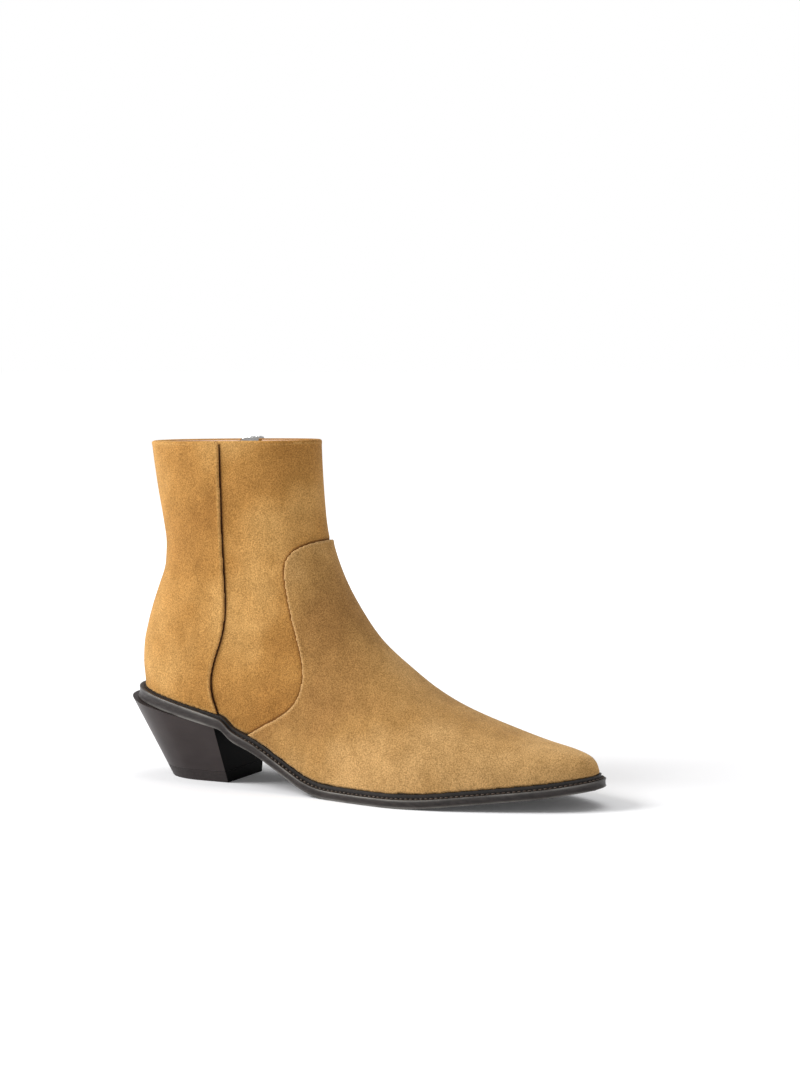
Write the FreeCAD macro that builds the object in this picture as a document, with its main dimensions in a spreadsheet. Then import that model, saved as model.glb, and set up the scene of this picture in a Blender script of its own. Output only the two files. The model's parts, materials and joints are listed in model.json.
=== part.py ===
import FreeCAD, Part
import math
import os

from FreeCAD import Placement, Rotation, Vector

# A right-foot ankle boot: lasted suede upper with a medial zip, stitched leather sole and an
# underslung stacked heel.  X runs from heel to toe, Y towards the inner (medial) side, Z up.
# While it is modelled, X is measured from the back of the heel rand; every sub-part's Placement
# then moves it so that the origin is under the middle of the boot.

os.makedirs("parts", exist_ok=True)
doc = FreeCAD.newDocument("Boot")

# ---------------------------------------------------------------- driving dimensions
SIZES = [
    ("middle_length", 136.25, "from the heel rand to the middle of the length"),
    ("middle_width", -3.35, "from the centre line to the middle of the width"),
    ("topline_back", 180.0, "height of the topline at the back"),
    ("topline_front", 181.6, "height of the topline at the front"),
    ("panel_level", 1.5, "inner face of the vamp and back panel, and outer face of the quarter under them"),
    ("quarter_level", 2.7, "depth of the quarter's inner face"),
    ("stiffener_level", 3.2, "depth of the stiffeners' inner face"),
    ("lining_level", 4.1, "depth of the lining's inner face"),
    ("vamp_lap", 7.0, "how far the vamp laps over the quarters"),
    ("back_lap", 6.0, "how far the back panel laps over the lateral quarter"),
    ("topline_tape_width", 10.0, "depth of the tape under the topline"),
    ("outsole_thickness", 4.4, "outsole"),
    ("welt_thickness", 2.4, "stitched strip between upper and outsole"),
    ("insole_thickness", 2.2, "fibre board that the upper is lasted to"),
    ("sock_thickness", 2.5, "padded leather sock over the insole board"),
    ("heel_pad_thickness", 1.6, "foam under the sock"),
    ("sole_overhang", 3.6, "outsole edge beyond the upper"),
    ("welt_overhang", 1.2, "stitched strip beyond the upper"),
    ("welt_width", 8.0, "stitched strip, inward from the upper's edge"),
    ("shank_thickness", 1.5, "steel shank"),
    ("shank_width", 13.0, "steel shank"),
    ("shank_start", 32.0, "steel shank, from the heel rand"),
    ("shank_end", 128.0, "steel shank, from the heel rand"),
    ("seat_back", 43.6, "height of the heel seat at the back"),
    ("seat_front", 30.8, "height of the heel seat at the breast"),
    ("breast", 66.8, "heel breast, from the heel rand"),
    ("lift_thickness", 6.0, "top lift"),
    ("heel_foot_back", 24.3, "back of the heel at the ground"),
    ("heel_foot_front", 66.6, "breast of the heel at the ground"),
    ("heel_foot_half", 18.9, "half width of the heel's breast at the ground"),
    ("heel_loft_height", 48.0, "height of the upper loft section of the heel"),
    ("heel_head_back", -1.4, "back of the heel at that section"),
    ("heel_head_front", 61.8, "breast of the heel at that section"),
    ("heel_head_half", 34.6, "half width of the heel at that section"),
    ("nail_radius", 0.9, "heel nails"),
    ("nail_length", 20.0, "heel nails"),
    ("screw_radius", 2.2, "heel screw"),
    ("screw_length", 30.0, "heel screw"),
    ("pin_radius", 1.2, "top lift pins"),
    ("pin_length", 9.0, "top lift pins"),
    ("zip_top_x", 60.0, "zip line at the topline"),
    ("zip_top_z", 181.0, "zip line at the topline"),
    ("zip_foot_x", 67.5, "zip line at its lower end"),
    ("zip_foot_z", 80.0, "zip line at its lower end"),
    ("zip_gap", 3.4, "leather edge from the zip line"),
    ("lining_gap", 6.5, "lining edge from the zip line, clear of the slider's inner plate"),
    ("tape_width", 12.0, "zip tape"),
    ("tooth_pitch", 2.6, "zip teeth"),
    ("tooth_length", 1.5, "zip tooth along the zip"),
    ("tooth_inner", 0.8, "zip tooth's tip from the zip line"),
    ("tooth_outer", 3.1, "zip tooth's root from the zip line"),
    ("tooth_top", -0.9, "zip tooth's outer face"),
    ("tooth_depth", 2.2, "zip tooth's thickness"),
    ("slider_half", 5.4, "slider, half its width"),
    ("slider_neck", 3.9, "slider, half its width at the lower end"),
    ("slider_top", -1.6, "slider's upper edge along the zip line"),
    ("slider_length", 13.4, "slider"),
    ("plate_thickness", 1.1, "slider's plates"),
    ("plate_level", 0.4, "under face of the slider's outer plate"),
    ("plate_inner_level", -6.4, "under face of the slider's inner plate"),
    ("post_half", 0.5, "slider's post, half its width"),
    ("bridge_half", 1.2, "slider's bridge, half its width"),
    ("bridge_height", 3.6, "slider's bridge above the plate"),
    ("hinge_along", 4.6, "pull's hinge along the zip line"),
    ("hinge_out", 2.7, "pull's hinge out from the zip line"),
    ("pull_length", 41.0, "pull"),
    ("pull_half", 3.3, "pull, half its width at the shoulder"),
    ("pull_tip_half", 2.2, "pull, half its width at the tip"),
    ("pull_thickness", 1.4, "pull"),
    ("pull_bar_radius", 0.6, "pull's cross bar"),
]

sheet = doc.addObject("Spreadsheet::Sheet", "Sizes")
for row, (alias, number, note) in enumerate(SIZES, start=1):
    sheet.set(f"A{row}", note)
    sheet.set(f"B{row}", str(number))
    sheet.setAlias(f"B{row}", alias)
doc.recompute()


def size(alias):
    """A driving dimension, read from the sheet."""
    return float(sheet.get(alias))


SHIFT = Vector(-size("middle_length"), -size("middle_width"), 0)
PLACE = Placement(SHIFT, Rotation())
subparts = []


def keep(node, shape, placement=PLACE):
    """A sub-part whose shape is made here, because no feature makes it."""
    item = doc.addObject("Part::Feature", node)
    item.Label = node
    item.Shape = shape
    item.Placement = placement
    subparts.append(item)
    return item


# ---------------------------------------------------------------- outlines of the last
def smooth_curve(points):
    """A function through the points that never swings past them (monotone cubic)."""
    xs = [p[0] for p in points]
    ys = [p[1] for p in points]
    steps = [b - a for a, b in zip(xs, xs[1:])]
    slopes = [(b - a) / h for a, b, h in zip(ys, ys[1:], steps)]
    tangents = [slopes[0]]
    for before, after in zip(slopes, slopes[1:]):
        same_way = before * after > 0
        tangents.append(2 * before * after / (before + after) if same_way else 0.0)
    tangents.append(slopes[-1])

    def value(x):
        x = min(max(x, xs[0]), xs[-1])
        i = 0
        while i < len(steps) - 1 and x > xs[i + 1]:
            i += 1
        t = (x - xs[i]) / steps[i]
        rise = ys[i + 1] - ys[i]
        start = tangents[i] * steps[i]
        end = tangents[i + 1] * steps[i]
        return ys[i] + start * t + (3 * rise - 2 * start - end) * t**2 + (start + end - 2 * rise) * t**3

    return value


# back of the upper: x at each height
BACK = [(-30, 14), (0, 12.5), (40, 9.8), (50, 8.2), (62, 6.8), (71, 7.3), (82, 9.9), (93, 13.5),
        (104, 17.6), (115, 21.1), (126, 21.7), (137, 20.3), (159, 16.4), (180, 13.2), (200, 12.0)]
back_x = smooth_curve(BACK)
# front of the upper: x at each height, up the toe, the instep ridge and the shaft
TOE_HEIGHT = 17.5
HIGHEST = 600
FRONT = [(-40, 250), (0, 262), (14, 267.2), (TOE_HEIGHT, 267.7), (20, 267.1), (24.8, 263.4), (28.5, 252.7),
         (32, 236.4), (38.2, 214.5), (46.5, 192.3), (55.3, 175.4), (66, 161.2), (78.3, 146.8), (92.5, 135.3),
         (106.3, 126.7), (119.3, 121.0), (130, 117.6), (140, 115.7), (161, 113.9), (181.6, 112.7),
         (HIGHEST, 98)]
front_x = smooth_curve(FRONT)
# ground side of the sole: height at each x, forward of the heel seat
SOLE = [(66.8, 30.8), (74, 26.2), (86, 20.7), (99, 14.0), (109.3, 8.2), (119.1, 3.4), (131, 0.5), (142, 0),
        (172, 0), (190, 0.7), (207, 2.5), (234, 5.3), (252, 7.4), (268.2, 9.8), (280, 11.8)]
sole_curve = smooth_curve(SOLE)
# half breadth of the foot just above the sole, outer and inner side
OUTER_SIDE = [(0, 29), (35, 30), (80, 30.5), (105, 31.5), (130, 36.5), (155, 42), (175, 45), (195, 42.5),
              (215, 36.5), (235, 28.5), (250, 21.5), (262, 13), (268, 7)]
INNER_SIDE = [(0, 29), (35, 30), (55, 30.2), (80, 27.5), (105, 26.5), (130, 30), (155, 36), (175, 39.5),
              (195, 39.5), (215, 35.5), (235, 28), (250, 20.5), (262, 12.5), (268, 7)]
outer_half = smooth_curve(OUTER_SIDE)
inner_half = smooth_curve(INNER_SIDE)
SHAFT_HALF = {-1: 29.5, 1: 27.5}
# the foot's breadth passes into the shaft's over this height, above the upper's lower edge
CLIMB_START = 5.0
CLIMB_HEIGHT = 70.0
# how quickly the sides close on the ridge and on the back, and the least and greatest section that counts
SIDE_ROUNDING = 2.6
BACK_ROUNDING = 0.047
LEAST_SECTION = 7.0
TALL_SECTION = 58.0
SEARCH_STEPS = 30
NONE = 1e-6


def sole_z(x):
    """Height of the sole's ground side, with its straight heel seat."""
    if x <= size("breast"):
        rise = (size("seat_front") - size("seat_back")) / size("breast")
        return size("seat_back") + rise * x
    return sole_curve(x)


def feather_z(x):
    """Height of the upper's lower edge."""
    return sole_z(x) + size("outsole_thickness") + size("welt_thickness")


def ridge_z(x):
    """Height of the instep ridge over a place along the foot: the front outline, read the other way."""
    low = TOE_HEIGHT
    high = HIGHEST
    for _ in range(SEARCH_STEPS):
        middle = (low + high) / 2
        if front_x(middle) > x:
            low = middle
        else:
            high = middle
    return low


def half_breadth(x, z, side):
    """Distance of the upper's outer face from the centre plane; side is -1 outer, 1 inner."""
    low = outer_half(x) if side < 0 else inner_half(x)
    climb = min(max((z - feather_z(x) - CLIMB_START) / CLIMB_HEIGHT, 0), 1)
    blend = climb * climb * (3 - 2 * climb)
    width = low * (1 - blend) + SHAFT_HALF[side] * blend
    ahead = max(front_x(z) - x, NONE)
    ridge = ridge_z(x)
    above = max(ridge - z, NONE)
    to_ridge = above * ahead / math.hypot(above, ahead)
    tallness = max(ridge - feather_z(x), LEAST_SECTION)
    section = tallness / (1 + (tallness / TALL_SECTION) ** 4) ** 0.25
    front_closing = math.sqrt(1 - math.exp(-SIDE_ROUNDING / section * to_ridge))
    back_closing = math.sqrt(1 - math.exp(-BACK_ROUNDING * max(x - back_x(z), NONE)))
    return width * front_closing * back_closing


# ---------------------------------------------------------------- solids of the last
# Each ring runs round the upper in a tilted plane, from this height at the back to that one in front.
RING_ENDS = [(20, -25), (36, 0), (50, 17), (58, 20.5), (66, 25.2), (76, 29.5), (88, 35), (101, 45.2),
             (114, 60), (127, 80), (138, 101.5), (150, 124), (163, 152), (180, 181.6), (200, 200)]
front_of_ring = smooth_curve(RING_ENDS)
LOWEST_RING = 20
HIGHEST_RING = 200
RING_COUNT = 37
RING_POINTS = 44
RING_KNOTS = [i / RING_POINTS for i in range(RING_POINTS + 1)]
FEELER = 0.05


def outward(x, z, side):
    """Unit normal of the upper's outer face."""
    across = (half_breadth(x + FEELER, z, side) - half_breadth(x - FEELER, z, side)) / (2 * FEELER)
    upward = (half_breadth(x, z + FEELER, side) - half_breadth(x, z - FEELER, side)) / (2 * FEELER)
    return Vector(-across, side, -upward).normalize()


def profile_normal(curve, z, way):
    """Unit normal, in the centre plane, of the front or back outline."""
    slope = curve(z + 0.5) - curve(z - 0.5)
    return Vector(way, 0, -way * slope).normalize()


def ring(back, front, depth, end):
    """Closed curve round the upper, depth under its outer face; it starts halfway along the outer side."""
    start = Vector(back_x(back), 0, back)
    finish = Vector(front_x(front), 0, front)
    plane_normal = (finish - start).cross(Vector(0, 1, 0)).normalize()
    points = []
    for i in range(RING_POINTS):
        place = (i + RING_POINTS // 4) % RING_POINTS
        turn = 2 * math.pi * place / RING_POINTS
        along = (1 - math.cos(turn)) / 2
        point = start + (finish - start) * along
        side = -1 if turn < math.pi else 1
        if place == 0:
            normal = profile_normal(back_x, back, -1)
        elif 2 * place == RING_POINTS:
            normal = profile_normal(front_x, front, 1)
        else:
            point.y = side * half_breadth(point.x, point.z, side)
            normal = outward(point.x, point.z, side)
        inward = normal * -depth
        if end:
            inward = inward - plane_normal * inward.dot(plane_normal)
        points.append(point + inward)
    curve = Part.BSplineCurve()
    curve.interpolate(Points=points, PeriodicFlag=True, Parameters=RING_KNOTS)
    return Part.Wire([curve.toShape()])


def last_solid(depth):
    """The whole upper's volume, its face depth under the outer face."""
    wires = []
    for i in range(RING_COUNT):
        back = LOWEST_RING + (HIGHEST_RING - LOWEST_RING) * i / (RING_COUNT - 1)
        wires.append(ring(back, front_of_ring(back), depth, i in (0, RING_COUNT - 1)))
    return Part.makeLoft(wires, True, False, False)


FAR = 400.0
# the two sides part a hair beside the centre plane
SIDE_SPLIT = 0.4


def upright(points):
    """Flat face in the centre plane from (x, z) corners."""
    corners = [Vector(x, 0, z) for x, z in points]
    return Part.Face(Part.makePolygon(corners + corners[:1]))


def curved_face(curve_points, corners):
    """Flat face in the centre plane: a smooth edge through curve_points, closed by straight lines."""
    curve = Part.BSplineCurve()
    curve.interpolate(Points=[Vector(x, 0, z) for x, z in curve_points])
    path = [Vector(x, 0, z) for x, z in [curve_points[-1]] + corners + [curve_points[0]]]
    lines = [Part.LineSegment(here, there).toShape() for here, there in zip(path, path[1:])]
    return Part.Face(Part.Wire([curve.toShape()] + lines))


def through(face, sides=(-1, 1)):
    """The face pushed sideways through the boot, on the outer side (-1), the inner side (1) or both."""
    low = -FAR / 4 if -1 in sides else SIDE_SPLIT
    high = FAR / 4 if 1 in sides else SIDE_SPLIT
    flat = face.copy()
    flat.translate(Vector(0, low, 0))
    return flat.extrude(Vector(0, high - low, 0))


BEHIND_HEEL = -20.0
TANGENT = 12.0
TOE_SPRING = Vector(TANGENT, 0, 2)


def sole_line(rise):
    """Edges of the sole's ground side in the centre plane, raised by rise."""
    start = Vector(BEHIND_HEEL, 0, sole_z(BEHIND_HEEL) + rise)
    end = Vector(size("breast"), 0, sole_z(size("breast")) + rise)
    leaving = Vector(end.x - BEHIND_HEEL, 0, size("seat_front") - size("seat_back")).normalize() * TANGENT
    path = [Vector(x, 0, z + rise) for x, z in SOLE]
    curve = Part.BSplineCurve()
    curve.interpolate(Points=path, InitialTangent=leaving, FinalTangent=TOE_SPRING)
    return [Part.LineSegment(start, end).toShape(), curve.toShape()]


def sole_band(low, high):
    """Everything between two heights above the sole's ground side, right across the boot."""
    lower = sole_line(low)
    upper = sole_line(high)
    ends = []
    for edge in (0, 1):
        here = lower[edge].Vertexes[edge].Point
        there = upper[edge].Vertexes[edge].Point
        ends.append(Part.LineSegment(here, there).toShape())
    wire = Part.Wire(Part.__sortEdges__(lower + upper + ends))
    return through(Part.Face(wire))


LEVELS = {}
BANDS = {}
OUTER = 0.0
PANEL = size("panel_level")
QUARTER = size("quarter_level")
STIFFENER = size("stiffener_level")
LINING = size("lining_level")


def level(depth):
    """The upper's volume at a depth, made once."""
    if depth not in LEVELS:
        LEVELS[depth] = last_solid(depth)
    return LEVELS[depth]


# ---------------------------------------------------------------- seams, seen from the side
BELOW_ALL = -10.0
REAR = -40.0
TOPLINE = [(REAR, size("topline_back") - 0.8), (160, size("topline_front") + 0.8)]
TAPE_FLOOR = [(x, z - size("topline_tape_width")) for x, z in TOPLINE]
upper_zone = sole_band(size("outsole_thickness") + size("welt_thickness"), 250)
GROUND = [(REAR, BELOW_ALL), (300, BELOW_ALL)]
upper_zone = upper_zone.common(through(upright(GROUND + TOPLINE[::-1])))
below_tape = through(upright(GROUND + TAPE_FLOOR[::-1]))


def band(outer, inner):
    """The upper between two depths, from its lower edge to the topline, made once."""
    if (outer, inner) not in BANDS:
        BANDS[outer, inner] = level(outer).cut(level(inner)).common(upper_zone)
    return BANDS[outer, inner]


CHIP = 1.0


def piece(stock, inside=(), outside=()):
    """What is left of the stock inside every first zone and outside every second; chips are dropped."""
    for zone in inside:
        stock = stock.common(zone)
    for zone in outside:
        stock = stock.cut(zone)
    whole = [solid for solid in stock.Solids if solid.Volume > CHIP]
    return whole[0] if len(whole) == 1 else Part.makeCompound(whole)


VAMP_EDGE = [(70, 24.0), (84.8, 28.6), (94, 34.0), (104, 39.6), (111.5, 46.0), (115.3, 55.0), (115.0, 66.0),
             (112.3, 76.0), (108.0, 89.0), (104.8, 100.0), (102.6, 110.0), (102.0, 117.0), (104.5, 123.0),
             (109.5, 127.0), (116, 129.5), (124, 131.5)]
VAMP_DROP = 0.6
vamp_face = curved_face(VAMP_EDGE, [(FAR, 131.5), (FAR, -FAR / 8), (70, -FAR / 8)])
core_face = vamp_face.copy()
core_face.translate(Vector(size("vamp_lap"), 0, -size("vamp_lap") * VAMP_DROP))
vamp_zone = through(vamp_face)
core_zone = through(core_face)

BACK_SEAM = [(65, 20.0), (65.2, 38.0), (61.8, 47.0), (60.9, 56.0), (63.2, 67.0), (67.0, 78.0), (68.9, 89.0),
             (68.6, 104.0), (67.0, 124.0), (65.9, 151.0), (64.0, 200.0)]
back_face = curved_face(BACK_SEAM, [(REAR, 200), (REAR, 20)])
lap_face = back_face.copy()
lap_face.translate(Vector(-size("back_lap"), 0, 0))
outer_back = through(back_face, [-1])
outer_back_core = through(lap_face, [-1])


def beside_zip(offset, foot_offset):
    """Everything behind a line beside the zip, on the inner side; below the zip it runs on at foot_offset."""
    slope = (size("zip_foot_x") - size("zip_top_x")) / (size("zip_top_z") - size("zip_foot_z"))
    head = (size("zip_top_x") - 20 * slope + offset, size("zip_top_z") + 20)
    foot = (size("zip_foot_x") + offset, size("zip_foot_z"))
    joint = (size("zip_foot_x") + 4 * slope + foot_offset, size("zip_foot_z") - 6)
    end = (joint[0] + 1.0, 10)
    return through(upright([head, foot, joint, end, (REAR, end[1]), (REAR, head[1])]), [1])


TAPE_NEAR = 0.9
TAPE_FAR = TAPE_NEAR + size("tape_width")
GAP = size("zip_gap")
behind_zip = beside_zip(-GAP, 0)
up_to_quarter = beside_zip(GAP, 0)
behind_tape = beside_zip(-TAPE_FAR, -TAPE_FAR)
up_to_tape_end = beside_zip(TAPE_FAR, TAPE_FAR)
TAPE_END = 4.0


def window(rear, front, low):
    """Flat face in the centre plane, between two upright lines, open above."""
    return upright([(rear, low), (front, low), (front, FAR), (rear, FAR)])


outer_side = through(window(REAR, FAR, REAR), [-1])
inner_side = through(window(REAR, FAR, REAR), [1])
above_zip_foot = through(window(REAR, FAR, size("zip_foot_z") - TAPE_END))

# ---------------------------------------------------------------- suede panels
keep("vamp", piece(band(OUTER, PANEL), [vamp_zone]))
keep("back_panel", piece(band(OUTER, PANEL), [outer_back.fuse(behind_zip)]))
keep("quarter", piece(band(PANEL, QUARTER), [], [core_zone, outer_back_core, up_to_quarter]))

# ---------------------------------------------------------------- zip tapes and stiffeners
zip_stock = piece(band(QUARTER, STIFFENER), [inner_side, above_zip_foot])
keep("zip_tape_rear", piece(zip_stock, [beside_zip(-TAPE_NEAR, -TAPE_NEAR)], [behind_tape]))
keep("zip_tape_front", piece(zip_stock, [up_to_tape_end], [beside_zip(TAPE_NEAR, TAPE_NEAR)]))

PUFF_EDGE = [(206, BELOW_ALL), (209, 20), (219, 60)]
puff_zone = through(curved_face(PUFF_EDGE, [(FAR, 60), (FAR, BELOW_ALL)]))
keep("toe_puff", piece(band(PANEL, STIFFENER), [core_zone, puff_zone]))
keep("vamp_interlining", piece(band(PANEL, STIFFENER), [core_zone], [puff_zone]))

COUNTER_EDGE = [(REAR, 104), (15, 101), (40, 92), (56, 74), (60, 20)]
counter_zone = through(curved_face(COUNTER_EDGE, [(REAR, 20)]))
back_core = outer_back_core.fuse(behind_tape)
keep("heel_counter", piece(band(PANEL, STIFFENER), [back_core, counter_zone]))
keep("back_interlining", piece(band(PANEL, STIFFENER), [back_core], [counter_zone]))
quarter_stock = piece(band(QUARTER, STIFFENER), [], [core_zone, outer_back_core, up_to_tape_end])
keep("quarter_interlining", piece(quarter_stock, [below_tape]))
keep("topline_tape", piece(quarter_stock, [], [below_tape]))

# ---------------------------------------------------------------- lining
LINING_SEAM = [(96, BELOW_ALL), (124, 60), (118, 128), (128, 134)]
vamp_lining_zone = through(curved_face(LINING_SEAM, [(FAR, 134), (FAR, BELOW_ALL)]))
BACK_LINING_X = 66.0
outer_back_lining = through(window(REAR, BACK_LINING_X, REAR), [-1])
keep("vamp_lining", piece(band(STIFFENER, LINING), [vamp_lining_zone]))
behind_slider = beside_zip(-size("lining_gap"), 0)
up_to_lining = beside_zip(size("lining_gap"), 0)
shaft_lining = piece(band(STIFFENER, LINING), [], [vamp_lining_zone, outer_back_lining, up_to_lining])
keep("lateral_lining", piece(shaft_lining, [outer_side]))
keep("medial_lining", piece(shaft_lining, [inner_side]))
keep("back_lining", piece(band(STIFFENER, LINING), [outer_back_lining.fuse(behind_slider)]))

# ---------------------------------------------------------------- bottom
OUTLINE_POINTS = 64
PRISM_FLOOR = -20.0
PRISM_HEIGHT = 120.0
heel_end = back_x(feather_z(8))
toe_end = front_x(feather_z(267))


def upright_prism(points):
    """An upright prism with a smooth closed plan through the points."""
    curve = Part.BSplineCurve()
    curve.interpolate(Points=points, PeriodicFlag=True)
    return Part.Face(Part.Wire([curve.toShape()])).extrude(Vector(0, 0, PRISM_HEIGHT))


def turns():
    """Steps round a closed plan, from the outer side, with the share of the length reached at each."""
    for i in range(OUTLINE_POINTS):
        turn = 2 * math.pi * ((i + OUTLINE_POINTS // 4) % OUTLINE_POINTS) / OUTLINE_POINTS
        yield turn, (1 - math.cos(turn)) / 2, -1 if turn < math.pi else 1


def outline_beyond(distance):
    """Plan of the upper's lower edge, moved out by a distance."""
    base = []
    for turn, share, side in turns():
        x = heel_end + (toe_end - heel_end) * share
        on_axis = abs(math.sin(turn)) < NONE
        breadth = 0 if on_axis else half_breadth(x, feather_z(x), side)
        base.append(Vector(x, side * breadth, PRISM_FLOOR))
    points = []
    for i, point in enumerate(base):
        along = base[(i + 1) % OUTLINE_POINTS] - base[i - 1]
        points.append(point + Vector(along.y, -along.x, 0).normalize() * distance)
    return upright_prism(points)


TOE_SETBACK = 2.4
BLUNTNESS = 0.35


def outline_within(distance):
    """Plan of the space inside the stitched strip, in from the upper's lower edge."""
    points = []
    start = heel_end + distance
    end = toe_end - TOE_SETBACK * distance
    for turn, share, side in turns():
        x = start + (end - start) * share
        closing = abs(math.sin(turn)) ** BLUNTNESS
        breadth = (half_breadth(x, feather_z(x), side) - distance) * closing
        points.append(Vector(x, side * breadth, PRISM_FLOOR))
    return upright_prism(points)


OUTSOLE = size("outsole_thickness")
WELT = OUTSOLE + size("welt_thickness")
BOARD = WELT + size("insole_thickness")
outsole = sole_band(0, OUTSOLE).common(outline_beyond(size("sole_overhang")))
welt_inner = outline_within(size("welt_width"))
welt = sole_band(OUTSOLE, WELT).common(outline_beyond(size("welt_overhang"))).cut(welt_inner)
keep("outsole", piece(outsole))
keep("welt", piece(welt))

shank_length = size("shank_end") - size("shank_start")
shank_corner = Vector(size("shank_start"), -size("shank_width") / 2, 0)
shank_box = Part.makeBox(shank_length, size("shank_width"), PRISM_HEIGHT, shank_corner)
shank = sole_band(OUTSOLE, OUTSOLE + size("shank_thickness")).common(shank_box)
cork = sole_band(OUTSOLE, WELT).common(welt_inner).cut(shank)
keep("shank", piece(shank))
keep("cork_filler", piece(cork))

inside = level(LINING)
PAD_END = 70.0
PAD_MARGIN = 4.0
pad_box = Part.makeBox(PAD_END, FAR / 2, FAR / 2, Vector(0, -FAR / 4, 0))
pad_top = BOARD + size("heel_pad_thickness")
heel_pad = sole_band(BOARD, pad_top).common(pad_box).common(last_solid(LINING + PAD_MARGIN))
keep("insole_board", piece(sole_band(WELT, BOARD).common(inside)))
keep("heel_pad", piece(heel_pad))
keep("sock_liner", piece(sole_band(BOARD, BOARD + size("sock_thickness")).common(inside).cut(heel_pad)))

# ---------------------------------------------------------------- heel
HEEL_SECTION_POINTS = 12
STRAIGHT_SHARE = 0.42


def origin_plane(body, role):
    """One of a body's own origin planes."""
    return [item for item in body.Origin.OriginFeatures if item.Role == role][0]


def draw_outline(sketch, points):
    """Closed outline of straight edges, through a sketch's own (x, y) points."""
    corners = [Vector(x, y, 0) for x, y in points]
    for here, there in zip(corners, corners[1:] + corners[:1]):
        sketch.addGeometry(Part.LineSegment(here, there), False)


def heel_section(body, name, height, back, front, half):
    """Closed D-shaped outline: a flat breast, then straight sides that turn into half an ellipse."""
    sketch = body.newObject("Sketcher::SketchObject", name)
    sketch.AttachmentSupport = [(origin_plane(body, "XY_Plane"), "")]
    sketch.MapMode = "FlatFace"
    sketch.setExpression(".AttachmentOffset.Base.z", height)
    turn_x = front - STRAIGHT_SHARE * (front - back)
    points = [Vector(front, -half, 0)]
    for i in range(HEEL_SECTION_POINTS + 1):
        turn = math.pi * i / HEEL_SECTION_POINTS
        points.append(Vector(turn_x - (turn_x - back) * math.sin(turn), -half * math.cos(turn), 0))
    points.append(Vector(front, half, 0))
    curve = Part.BSplineCurve()
    knots = [i / (len(points) - 1) for i in range(len(points))]
    curve.interpolate(Points=points, Parameters=knots)
    sketch.addGeometry(curve, False)
    sketch.addGeometry(Part.LineSegment(points[-1], points[0]), False)
    return sketch


def at_height(height, value):
    """A heel size between the ground and the upper loft section."""
    foot = size("heel_foot_" + value)
    return foot + (size("heel_head_" + value) - foot) * height / size("heel_loft_height")


def heel_slice(node, low, high):
    """A body lofted between the heel's outlines at two heights, named by the sheet's aliases."""
    body = doc.addObject("PartDesign::Body", node)
    body.Label = node
    sections = []
    for name, height in (("Lower", low), ("Upper", high)):
        number = size(height) if height else 0.0
        outline = [at_height(number, key) for key in ("back", "front", "half")]
        offset = f"Sizes.{height}" if height else "0"
        sections.append(heel_section(body, f"{name}_{node}", offset, *outline))
    doc.recompute()
    loft = body.newObject("PartDesign::AdditiveLoft", f"Loft_{node}")
    loft.Profile = sections[0]
    loft.Sections = [sections[1]]
    loft.Ruled = True
    body.Placement = PLACE
    doc.recompute()
    subparts.append(body)
    return body


top_lift = heel_slice("top_lift", None, "lift_thickness")
heel_block = heel_slice("heel_block", "lift_thickness", "heel_loft_height")

seat = heel_block.newObject("Sketcher::SketchObject", "HeelSeat")
seat.AttachmentSupport = [(origin_plane(heel_block, "XZ_Plane"), "")]
seat.MapMode = "FlatFace"
SEAT_FRONT = 90.0
SEAT_CEILING = 80.0
seat_slope = (sole_z(40) - sole_z(0)) / 40
seat_line = [(BEHIND_HEEL, sole_z(BEHIND_HEEL)), (SEAT_FRONT, sole_z(0) + seat_slope * SEAT_FRONT),
             (SEAT_FRONT, SEAT_CEILING), (BEHIND_HEEL, SEAT_CEILING)]
draw_outline(seat, seat_line)
doc.recompute()
whole_heel = heel_block.Shape.Volume
seat_cut = heel_block.newObject("PartDesign::Pocket", "SeatCut")
seat_cut.Profile = seat
seat_cut.Type = 1
seat_cut.Midplane = True
doc.recompute()
assert heel_block.Shape.Volume < whole_heel, "the heel seat cuts nothing"


def fasteners(node, spots, radius, length, top):
    """Straight upright fasteners as one node of separate solids, with their heads at top(x)."""
    rods = []
    for x, y in spots:
        head = top(x)
        rods.append(Part.makeCylinder(size(radius), size(length), Vector(x, y, head), Vector(0, 0, -1)))
    keep(node, Part.makeCompound(rods))


def board_top(x):
    """Height of the nails' heads, punched a little below the insole board's upper face."""
    return sole_z(x) + BOARD - 0.3


def outsole_top(x):
    """Height of the outsole's upper face, where the screw's head lies."""
    return sole_z(x) + OUTSOLE


def pin_top(x):
    """Height of the pins' upper ends, whose lower ends stay inside the top lift."""
    return size("pin_length") + 1.0


NAILS = [(22, 0), (34, 12), (34, -12), (54, 15), (54, -15)]
SCREW = [(44, 0)]
PINS = [(36, 0), (56, 10), (56, -10)]
fasteners("heel_nails", NAILS, "nail_radius", "nail_length", board_top)
fasteners("heel_screw", SCREW, "screw_radius", "screw_length", outsole_top)
fasteners("top_lift_pins", PINS, "pin_radius", "pin_length", pin_top)

# ---------------------------------------------------------------- zip
def on_inner_side(x, z):
    """Point of the upper's outer face, on the inner side of the foot."""
    return Vector(x, half_breadth(x, z, 1), z)


zip_head = on_inner_side(size("zip_top_x"), size("zip_top_z"))
zip_foot = on_inner_side(size("zip_foot_x"), size("zip_foot_z"))
down = (zip_foot - zip_head).normalize()
zip_out = (Vector(0, 1, 0) - down * down.y).normalize()
across = down.cross(zip_out)
zip_length = (zip_foot - zip_head).Length
ZIP_TURN = Rotation(across, down, zip_out, "XYZ")
ZIP_PLACE = Placement(zip_head + SHIFT, ZIP_TURN)


FIRST_TOOTH = 2.0
TOP_STOP_LENGTH = 1.6
BOTTOM_STOP_LENGTH = 2.6
BOTTOM_STOP_EXTRA = 0.6
BOTTOM_STOP_LAP = 1.2
tooth_width = size("tooth_outer") - size("tooth_inner")
tooth_floor = size("tooth_top") - size("tooth_depth")


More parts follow.
